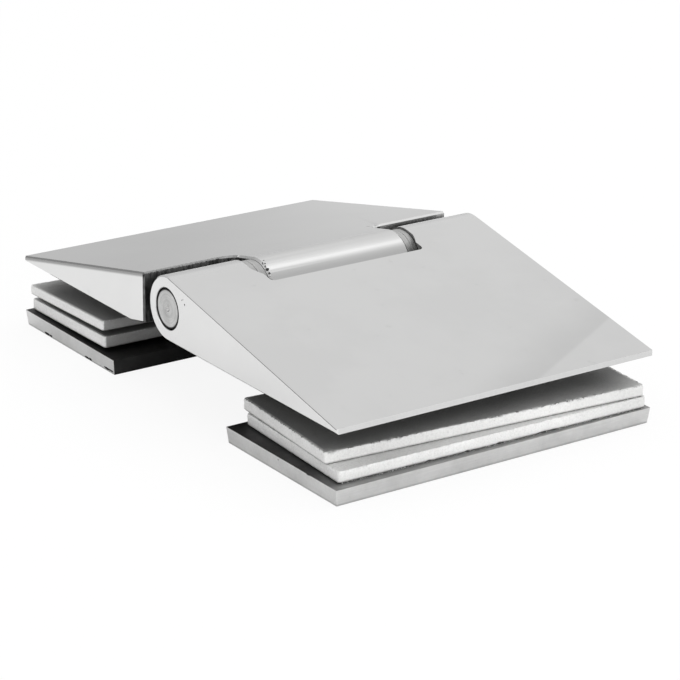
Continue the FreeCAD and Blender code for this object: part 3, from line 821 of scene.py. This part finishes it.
def outline(half, step):
    # points round a rectangle with rounded corners
    corners = [(-half.x, -half.y), (half.x, -half.y), (half.x, half.y), (-half.x, half.y)]
    points = []
    for (x0, y0), (x1, y1) in zip(corners, corners[1:] + corners[:1]):
        count = max(2, round(math.hypot(x1 - x0, y1 - y0) / step))
        points += [Vector((x0 + (x1 - x0) * i / count, y0 + (y1 - y0) * i / count, 0)) for i in range(count)]
    radius = gasket["corner"] * mm
    for point in points:
        over = Vector((abs(point.x) - half.x + radius, abs(point.y) - half.y + radius, 0))
        if over.x > 0 and over.y > 0:
            over *= 1 - radius / over.length
            point.x -= math.copysign(over.x, point.x)
            point.y -= math.copysign(over.y, point.y)
    return points


def splayed(nodeName, point, half):
    # the point's place across the pad, further out the nearer it is to the near front corner
    share = (0.5 - point.x / half.x / 2) * (0.5 - point.y / half.y / 2)
    return point.y - gasketWearAndShade[nodeName]["splay"] * mm * share


def gasketMesh(nodeName):
    place3d, half, holes = padShape(nodeName)
    wearAndShade = gasketWearAndShade[nodeName]
    seed = Vector((wearAndShade["seed"], 0, 0))
    points = outline(half, gasket["step"] * mm)
    for point in points:
        point.y = splayed(nodeName, point, half)
    rows = gasket["wallRows"]
    bm = bmesh.new()
    wallMark = bm.verts.layers.float.new("wall")
    rimMark = bm.verts.layers.float.new("rim")
    paintedShadeMark = bm.verts.layers.float.new("paintedShade")
    inwards = -1 if nodeName.startswith("left") else 1

    def ringAt(height, inset, wall, onRim, paintedShade):
        ring = []
        for point in points:
            depth = inset(point / mm) * mm
            vert = bm.verts.new((point.x * (1 - depth / half.x), point.y * (1 - depth / half.y), height))
            vert[wallMark], vert[rimMark] = wall, onRim
            # painted shade on the side towards the hinge
            inner = wall and inwards * point.y > half.y - 0.02 * mm
            vert[paintedShadeMark] = max(paintedShade, gasket["innerShade"]) if inner else paintedShade
            ring.append(vert)
        return ring

    def sawn(p, height):
        fine = noise.noise(Vector((p.x * 1.9, p.y * 1.9, height / mm * 1.9)) + seed)
        finest = noise.noise(Vector((p.x * 4.3, p.y * 4.3, height / mm * 4.3)) + seed * 2)
        return wearAndShade["rough"] * max(0.0, 0.5 + 0.6 * fine + 0.6 * finest)

    def chipped(p, level):
        # crumbs are missing here and there, and the named chips are larger
        lift = Vector((0, 0, level * 9.0))
        bite = noise.noise(p * 0.9 + seed * 3 + lift) + 0.6 * noise.noise(p * 2.3 + seed * 4 + lift)
        depth = wearAndShade["crumble"] * max(0.0, bite - 0.3)
        for along, chipLevel, width, chip in wearAndShade["chips"]:
            if chipLevel == level and p.y < 0.01 - half.y / mm and abs(p.x - along) < width:
                ragged = max(0.1, 0.7 + 1.1 * noise.noise(p * 2.9 + seed))
                depth = max(depth, chip * ragged * math.sqrt(1 - ((p.x - along) / width) ** 2))
        return depth

    def wallInset(row):
        height = -half.z + 2 * half.z * row / rows

        def inset(p):
            depth = sawn(p, height)
            for level, gone in ((0, row), (1, rows - row)):
                if gone == 0:
                    depth += gasket["round"] * (2.5 if level == 0 else 1.0) + chipped(p, level)
                elif gone == 1:
                    depth += 0.2 * gasket["round"] + 0.6 * chipped(p, level)
            return depth
        return height, inset

    # painted contact shade on the bottom and low on the sides
    rings = [ringAt(-half.z, lambda p: gasket["rim"], 0.0, 0.0, gasket["footShade"])]
    for row in range(rows + 1):
        height, inset = wallInset(row)
        rings.append(ringAt(height, inset, 1.0, wearAndShade["flecks"] if row in (0, rows) else 0.0,
                            gasket["footShade"] * max(0.0, 1 - 0.6 * row)))
    rings.append(ringAt(half.z, lambda p: gasket["rim"], wearAndShade["bare"], 0.0, 0.0))
    for ring, sign, level in ((rings[1], 1, 0), (rings[-2], -1, 1)):
        for vert, point in zip(ring, points):
            vert.co.z += sign * min(0.04 + 0.7 * chipped(point / mm, level), 0.45) * mm
    count = len(points)
    for lower, upper in zip(rings, rings[1:]):
        for i in range(count):
            bm.faces.new((lower[i], lower[(i + 1) % count], upper[(i + 1) % count], upper[i]))

    walls = []
    segments = gasket["holeSegments"]
    angles = [2 * math.pi * step / segments for step in range(segments)]
    for centre, radius in holes:
        rounds = [[bm.verts.new(centre + Vector((radius * math.cos(angle), radius * math.sin(angle), height)))
                   for angle in angles] for height in (-half.z, half.z)]
        for step in range(segments):
            after = (step + 1) % segments
            bm.faces.new((rounds[1][step], rounds[1][after], rounds[0][after], rounds[0][step]))
        walls.append(rounds)
    for level, ring in ((0, rings[0]), (1, rings[-1])):
        loops = [ring] + [rounds[level] for rounds in walls]
        edges = [bm.edges.get((loop[i - 1], loop[i])) or bm.edges.new((loop[i - 1], loop[i]))
                 for loop in loops for i in range(len(loop))]
        bmesh.ops.triangle_fill(bm, use_beauty=True, use_dissolve=False, edges=edges)
    bm.transform(place3d)
    bmesh.ops.recalc_face_normals(bm, faces=bm.faces)
    return bm


def gasketMaterial():
    material, tree, shader = newMaterial("gasketRubber", 0.0, 0.62)
    plain = millimetres(tree)
    texture = grain(tree, plain, 2.4, 5.0, 0.7)
    wall = mark(tree, "wall")
    pores = times(tree, wall, ramp(tree, grain(tree, plain, 1.2, 4.0, 0.75), 0.62, 0.74))
    loss = ramp(tree, grain(tree, millimetres(tree, (2.2, 1, 1)), 1.5, 3.0, 0.6), 0.53, 0.58)
    # painted shade of small chips: dark flecks along the top and bottom edges
    chipShade = times(tree, calc(tree, "POWER", mark(tree, "rim"), 1.5), loss)
    x, y, _ = xyz(tree, plain)
    # painted shadow of the leaf on the top, thinning out towards the tip and kept off the sides
    top = ramp(tree, calc(tree, "ABSOLUTE", y), *gasket["topShadowFade"], *gasket["topShadow"])
    top = times(tree, top, less(tree, wall))
    clouds = grain(tree, plain, 0.15, 3.0, 0.5)
    # painted shade towards the far end
    start, end, shade = gasket["farShade"]
    # the last factor is painted shade on the side towards the hinge and along the foot
    tint(tree, shader, gasket["colour"], ramp(tree, clouds, 0.3, 0.7, 1.0, 0.95),
         ramp(tree, x, start, end, 1.0, shade), less(tree, pores, 0.2), less(tree, chipShade, 0.92),
         ramp(tree, texture, 0.35, 0.7, 1.0, 0.87), less(tree, top), less(tree, mark(tree, "paintedShade")))
    bump(tree, shader, texture, 0.42, 0.3)
    return material


rubber = gasketMaterial()
for nodeName in gasketWearAndShade:
    side, level, _ = nodeName.split("_")
    piece = asObject(side + level.title() + "GasketSawn", gasketMesh(nodeName))
    evenShading(piece, 40)
    place(piece, side + "_clamp", "gasket_rubber", rubber, nodeName)
print("gaskets sawn")


# Crumbs and the burr: small lumps strewn along an edge

crumbs = {
    "burr": {"Spacing": 0.13, "Size": 0.17, "Spread": 0.14, "Seed": 4},
    "rightRubber": {"Spacing": 0.5, "Size": 0.13, "Spread": 0.13, "Seed": 9},
    "leftRubber": {"Spacing": 0.9, "Size": 0.09, "Spread": 0.08, "Seed": 15},
    "dents": 0.9,               # depth of a crumb's dents, of its size
    "dentGrain": 6.0,           # per millimetre
    "fromCorner": 1.2,
    "burrEnds": (-44.6, -23.6),
    "burrOut": 0.05,            # how far its line stands off the left leaf's inner wall
    "burrDown": 0.45,           # and below its upper face
    "burrRaw": 0.8,
}


def randomVector(tree, reach, seed, number):
    node = tree.nodes.new("FunctionNodeRandomValue")
    node.data_type = "FLOAT_VECTOR"
    low, high = [socket for socket in node.inputs if socket.type == "VECTOR"]
    for socket, sign in ((low, -1.0), (high, 1.0)):
        tree.links.new(onEachAxis(tree, times(tree, reach, sign)), socket)
    feed(tree, node.inputs["Seed"], calc(tree, "ADD", seed, float(number)))
    return next(socket for socket in node.outputs if socket.type == "VECTOR")


def crumbTree():
    tree, start, end = newTree("crumbsAlongEdge", (
        ("Spacing", "Float"), ("Size", "Float"), ("Spread", "Float"), ("Seed", "Int"),
        ("Mark", "String"), ("Amount", "Float"), ("Material", "Material")))
    out = start.outputs
    line = addNode(tree, "MeshToCurve", Mesh=out["Geometry"])
    spaced = addNode(tree, "ResampleCurve", {"mode": "LENGTH"}, Curve=line.outputs[0], Length=out["Spacing"])
    points = addNode(tree, "CurveToPoints", {"mode": "EVALUATED"}, Curve=spaced.outputs[0])
    offset = randomVector(tree, out["Spread"], out["Seed"], 0)
    moved = addNode(tree, "SetPosition", Geometry=points.outputs[0], Offset=offset)
    lump = addNode(tree, "MeshIcoSphere", Radius=1.0, Subdivisions=2)
    turn = randomVector(tree, math.pi, out["Seed"], 1)
    size = tree.nodes.new("FunctionNodeRandomValue")
    size.data_type = "FLOAT"
    floats = [socket for socket in size.inputs if socket.type == "VALUE"]
    feed(tree, floats[0], times(tree, out["Size"], 0.25))
    feed(tree, floats[1], out["Size"])
    tree.links.new(out["Seed"], size.inputs["Seed"])
    sizeOut = next(socket for socket in size.outputs if socket.type == "VALUE")
    copies = addNode(tree, "InstanceOnPoints", Points=moved.outputs[0], Instance=lump.outputs[0],
                     Rotation=turn, Scale=sizeOut)
    real = addNode(tree, "RealizeInstances", Geometry=copies.outputs[0])
    wave = tree.nodes.new("ShaderNodeTexNoise")
    wave.inputs["Scale"].default_value = crumbs["dentGrain"] / mm
    dent = tree.nodes.new("ShaderNodeVectorMath")
    dent.operation = "MULTIPLY_ADD"
    tree.links.new(wave.outputs["Color"], dent.inputs[0])
    for socket, factor in ((dent.inputs[1], crumbs["dents"]), (dent.inputs[2], -crumbs["dents"] / 2)):
        tree.links.new(onEachAxis(tree, times(tree, out["Size"], factor)), socket)
    dented = addNode(tree, "SetPosition", Geometry=real.outputs[0], Offset=dent.outputs[0])
    marked = addNode(tree, "StoreNamedAttribute", {"data_type": "FLOAT", "domain": "POINT"},
                     Geometry=dented.outputs[0], Name=out["Mark"], Value=out["Amount"])
    painted = addNode(tree, "SetMaterial", Geometry=marked.outputs[0], Material=out["Material"])
    tree.links.new(painted.outputs[0], end.inputs[0])
    return tree


def strew(name, body, slot, material, lines, values, markName, amount):
    bm = bmesh.new()
    for first, last in lines:
        bm.edges.new((bm.verts.new(first), bm.verts.new(last)))
    piece = asObject(name, bm)
    sizes = {key: value * mm if key != "Seed" else value for key, value in values.items()}
    grow(piece, crumbsOnce, {**sizes, "Mark": markName, "Amount": amount, "Material": material})
    evenShading(piece, 60)
    place(piece, body, slot, material)


def padEdges(nodeName, levels):
    place3d, half, _ = padShape(nodeName)
    reach = half.x - crumbs["fromCorner"] * mm
    draw = gasket["round"] * 0.5 * mm
    lines = [[Vector((x, -half.y + draw, level * (half.z - draw))) for x in (-reach, reach)] for level in levels]
    for point in (point for line in lines for point in line):
        point.y = splayed(nodeName, point, half)
    return [[place3d @ point for point in line] for line in lines]


crumbsOnce = crumbTree()
strew("rightGasketCrumbs", "right_clamp", "gasket_rubber", rubber,
      padEdges("right_upper_gasket", (-1, 1)) + padEdges("right_lower_gasket", (-1, 1)),
      crumbs["rightRubber"], "wall", 1.0)
strew("leftGasketCrumbs", "left_clamp", "gasket_rubber", rubber,
      padEdges("left_upper_gasket", (1,)) + padEdges("left_lower_gasket", (1,)),
      crumbs["leftRubber"], "wall", 1.0)
wall, slope = leaf["wallEdge"][0], math.radians(leaf["slope"])
upperFace = axisHeight / mm + (leaf["barrelRadius"] - wall * math.sin(slope)) / math.cos(slope)
burrLine = [Vector((end, wall + crumbs["burrOut"], upperFace - crumbs["burrDown"])) * mm
            for end in crumbs["burrEnds"]]
strew("leftLeafBurr", "left_leaf", "leaf_steel", bpy.data.materials["leftLeafSteel"],
      [burrLine], crumbs["burr"], "rawAndShade", crumbs["burrRaw"])
print("crumbs strewn")


# Stage, light and camera

stage = {
    "floorSize": 12.0,
    "floorShade": 0.88,
    "shadow": 0.10,             # share of the floor's real light and shade that the camera sees
    "farFloor": (0.585, 0.72),  # how bright the far floor mirrors, from straight behind to the right
    "toTheRight": (0.42, 0.62),     # the part of its direction along X between these two
    "nearFloor": (0.16, 0.36),  # metres from the middle, within which it is mirrored white, and where that ends
    "line": (0.5129, 0.5137, 0.528),    # the part along Y where a mirrored panel's edge starts, is dark, ends
    "lineShade": 0.10,
    "skyHeight": (0.22, 0.9),   # the part of a direction upwards, for the horizon and overhead
    "skyLight": (0.06, 1.42),   # on matt surfaces, from the horizon to overhead
}
# the studio as polished steel mirrors it: the part of a direction along Y, and the brightness there
studioBands = (
    (-1.0, 0.57), (-0.52, 0.58), (-0.30, 0.71), (-0.13, 1.02), (-0.03, 1.25),
    (0.06, 1.21), (0.16, 1.03), (0.30, 0.94), (0.42, 0.90), (0.50, 0.825),
    (0.525, 0.83), (0.55, 0.84), (0.70, 0.84), (0.85, 0.66), (1.0, 0.6),
)
lamps = {
    "front": {"place": (0.2, -1.9, 0.36), "size": 1.1, "power": 14.0},
    "near": {"place": (-1.4, -1.1, 0.5), "size": 0.9, "power": 5.0},
    "side": {"place": (1.3, -0.2, 1.5), "size": 1.0, "power": 6.0},
}
camera = {
    "target": (0, 0, 18),       # millimetres
    "azimuth": 35.0896,
    "elevation": 20.2594,
    "roll": 0.7197,
    "distance": 659.37,
    "slide": (3.707, -9.134),
    "lens": 142.84,
    "sensor": 36.0,
}


def lightPaths(tree):
    # seen directly or through something, and mirrored once with no matt surface between
    node = tree.nodes.new("ShaderNodeLightPath")
    seen = calc(tree, "MAXIMUM", node.outputs["Is Camera Ray"], node.outputs["Is Transmission Ray"])
    bounces = calc(tree, "MULTIPLY_ADD", node.outputs["Diffuse Depth"], 4.0, node.outputs["Glossy Depth"])
    once = calc(tree, "LESS_THAN", bounces, 1.5)
    return seen, times(tree, node.outputs["Is Glossy Ray"], once)


def makeWorld():
    world = bpy.data.worlds.new("studio")
    bpy.context.scene.world = world
    world.use_nodes = True
    tree = world.node_tree
    background = next(node for node in tree.nodes if node.type == "BACKGROUND")
    background.inputs["Color"].default_value = (1, 1, 1, 1)
    direction = tree.nodes.new("ShaderNodeTexCoord").outputs["Generated"]
    _, y, z = xyz(tree, direction)
    seen, glossy = lightPaths(tree)
    curveTop = 2.0              # a curve holds 0 to 1, so it holds the brightness divided by this
    bands = tree.nodes.new("ShaderNodeFloatCurve")
    curve = bands.mapping.curves[0]
    for _ in range(len(studioBands) - 2):
        curve.points.new(0.5, 0.5)
    for point, (along, level) in zip(curve.points, studioBands):
        point.location = ((along + 1) / 2, level / curveTop)
        point.handle_type = "VECTOR"
    bands.mapping.update()
    tree.links.new(calc(tree, "MULTIPLY_ADD", y, 0.5, 0.5), bands.inputs["Value"])
    start, dark, end = stage["line"]
    line = times(tree, ramp(tree, y, start, dark), ramp(tree, y, start, end, stage["lineShade"], 0.0))
    mirrored = times(tree, less(tree, line), bands.outputs["Value"], curveTop)
    sky = ramp(tree, z, *stage["skyHeight"], *stage["skyLight"])
    strength = calc(tree, "ADD", sky, times(tree, glossy, calc(tree, "SUBTRACT", mirrored, sky)))
    strength = calc(tree, "MAXIMUM", strength, seen)
    tree.links.new(strength, background.inputs["Strength"])


def makeFloor():
    bm = bmesh.new()
    bmesh.ops.create_grid(bm, x_segments=1, y_segments=1, size=stage["floorSize"] / 2)
    floor = asObject("floor", bm)
    material, tree, shader = newMaterial("paleFloor", 0.0, 0.9)
    shader.inputs["Specular IOR Level"].default_value = 0.0
    glow = tree.nodes.new("ShaderNodeEmission")
    mix = tree.nodes.new("ShaderNodeMixShader")
    seen, glossy = lightPaths(tree)

    # polished steel mirrors the near floor pale and the far floor grey
    x, y, _ = xyz(tree, tree.nodes.new("ShaderNodeTexCoord").outputs["Object"])
    away = hypotenuse(tree, x, y)
    toTheRight = calc(tree, "DIVIDE", x, calc(tree, "ADD", away, 0.001))
    far = ramp(tree, toTheRight, *stage["toTheRight"], *stage["farFloor"])
    near = ramp(tree, away, *stage["nearFloor"], 1.0, 0.0)
    mirrored = calc(tree, "ADD", far, times(tree, near, less(tree, far)))
    dim = times(tree, glossy, less(tree, mirrored))
    level = times(tree, less(tree, dim), stage["floorShade"])
    tree.links.new(onEachAxis(tree, level), shader.inputs["Base Color"])
    tree.links.new(times(tree, seen, 1 - stage["shadow"]), mix.inputs[0])
    tree.links.new(shader.outputs[0], mix.inputs[1])
    tree.links.new(glow.outputs[0], mix.inputs[2])
    output = next(node for node in tree.nodes if node.type == "OUTPUT_MATERIAL")
    tree.links.new(mix.outputs[0], output.inputs["Surface"])
    floor.data.materials.append(material)


def makeLamp(name, values):
    light = bpy.data.lights.new(name, "AREA")
    light.shape = "DISK"
    light.size = values["size"]
    light.energy = values["power"]
    lamp = bpy.data.objects.new(name, light)
    lamp.visible_glossy = False         # the studio's bands stand for it in reflections
    lamp.location = values["place"]
    lamp.rotation_euler = (-Vector(values["place"])).to_track_quat("-Z", "Y").to_euler()
    bpy.context.scene.collection.objects.link(lamp)


def makeCamera():
    azimuth, elevation, roll = (math.radians(camera[key]) for key in ("azimuth", "elevation", "roll"))
    level = Vector((math.cos(azimuth), -math.sin(azimuth), 0))
    ahead = Vector((math.sin(azimuth), math.cos(azimuth), 0))
    forward = ahead * math.cos(elevation) - Vector((0, 0, math.sin(elevation)))
    upward = ahead * math.sin(elevation) + Vector((0, 0, math.cos(elevation)))
    right = level * math.cos(roll) + upward * math.sin(roll)
    top = upward * math.cos(roll) - level * math.sin(roll)
    eye = (Vector(camera["target"]) - forward * camera["distance"]
           + right * camera["slide"][0] + top * camera["slide"][1]) * mm
    data = bpy.data.cameras.new("camera")
    data.lens = camera["lens"]
    data.sensor_width = camera["sensor"]
    data.clip_start = 0.01
    view = bpy.data.objects.new("camera", data)
    view.matrix_world = Matrix.Translation(eye) @ Matrix((right, top, -forward)).transposed().to_4x4()
    bpy.context.scene.collection.objects.link(view)
    bpy.context.scene.camera = view


makeWorld()
makeFloor()
for name, values in lamps.items():
    makeLamp(name, values)
makeCamera()
bpy.context.scene.view_settings.view_transform = "Standard"
print("stage, light and camera set")
